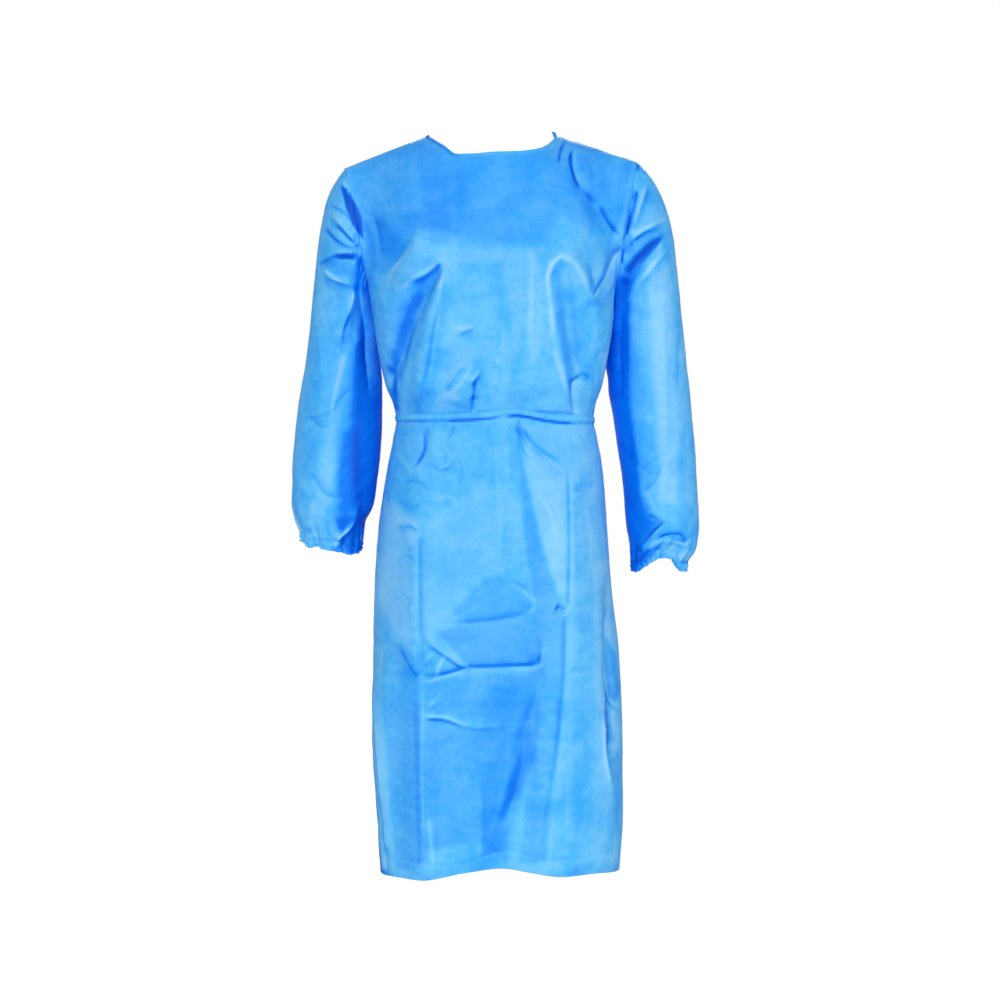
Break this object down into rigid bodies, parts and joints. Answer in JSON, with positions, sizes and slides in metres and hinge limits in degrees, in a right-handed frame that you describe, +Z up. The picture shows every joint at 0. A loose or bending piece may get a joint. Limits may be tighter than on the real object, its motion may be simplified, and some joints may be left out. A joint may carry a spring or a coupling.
{
  "type": "disposable patient gown",
  "caption": "Knee-length long-sleeved nonwoven gown in its worn shape, hollow, with gathered elastic cuffs, a narrow waist belt and a lapped, tied back opening.",
  "frame": {"origin": "middle of the neck opening, midway between the two points where the neck meets the shoulder seams", "axes": "+Z up, -Y the wearer's front, +X the wearer's left"},
  "size_m": [0.626, 0.3167, 1.132],
  "materials": {
    "gown_cloth": "smooth sky-blue nonwoven with a faint satin sheen",
    "trim_cloth": "the same nonwoven, folded into binding, belt, ties and elastic casings"
  },
  "bodies": {
    "root": {"front_panel": "gown_cloth", "back_panel_left": "gown_cloth", "back_panel_right": "gown_cloth", "sleeve_left": "gown_cloth", "sleeve_right": "gown_cloth", "cuff_left": "trim_cloth", "cuff_right": "trim_cloth", "neck_binding": "trim_cloth", "belt": "trim_cloth", "waist_knot": "trim_cloth", "waist_tie_left": "trim_cloth", "waist_tie_right": "trim_cloth", "neck_knot": "trim_cloth", "neck_tie_left": "trim_cloth", "neck_tie_right": "trim_cloth"}
  },
  "joints": []
}
